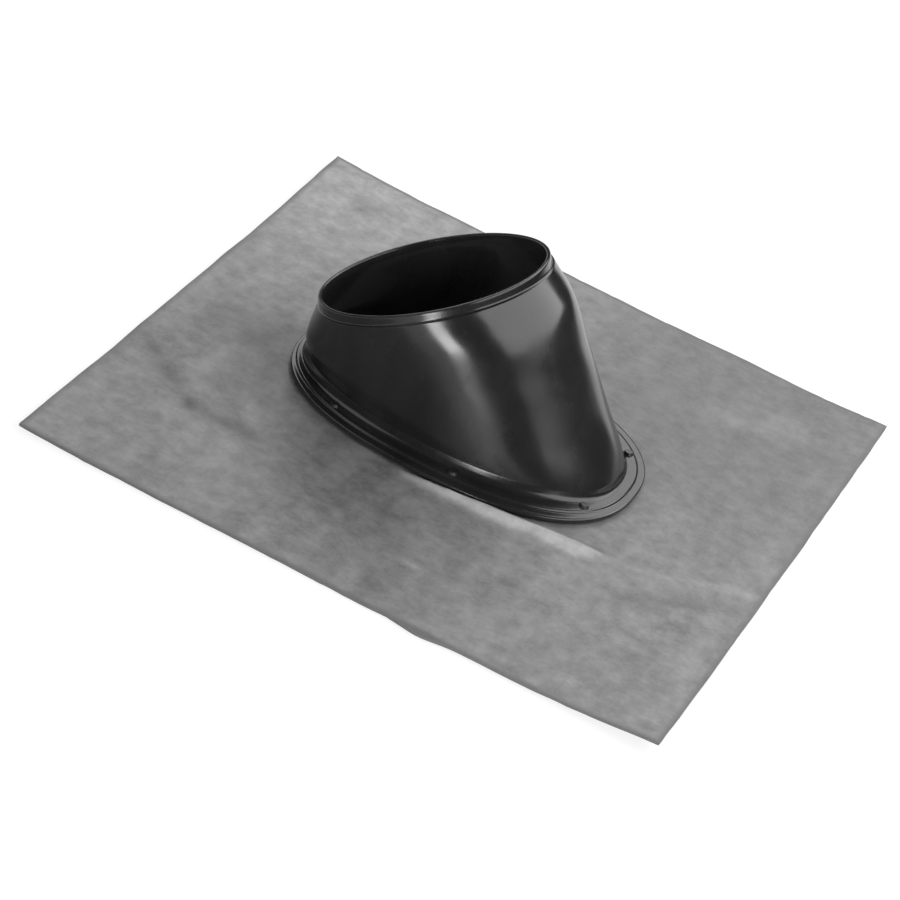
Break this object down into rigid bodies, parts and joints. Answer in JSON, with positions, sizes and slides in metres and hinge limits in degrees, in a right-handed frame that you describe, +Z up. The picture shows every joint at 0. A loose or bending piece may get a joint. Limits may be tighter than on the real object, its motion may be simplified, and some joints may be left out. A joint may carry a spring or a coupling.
{
  "type": "pipe flashing boot",
  "caption": "Pitched-roof pipe flashing: a black moulded boot with a slanted round mouth, riveted through a gasket and a soft grey lead apron to a backing ring.",
  "frame": {"origin": "middle of the lead apron, on the surface that the flashing lies on", "axes": "+Z up out of the roof face, +X down the roof, +Y across it; the boot's mouth leans towards -X"},
  "size_m": [0.4, 0.45, 0.1187],
  "materials": {
    "boot_plastic": "glossy black moulded plastic, faint flow marks",
    "apron_lead": "dull grey rolled lead, mottled by handling, brighter where bent",
    "gasket_rubber": "matt black sealing strip",
    "ring_plastic": "matt black moulded plastic",
    "rivet_metal": "black coated aluminium"
  },
  "bodies": {
    "root": {"boot_shell": "boot_plastic", "lead_apron": "apron_lead", "sealing_gasket": "gasket_rubber", "retaining_ring": "ring_plastic", "flange_rivets": "rivet_metal"}
  },
  "joints": []
}
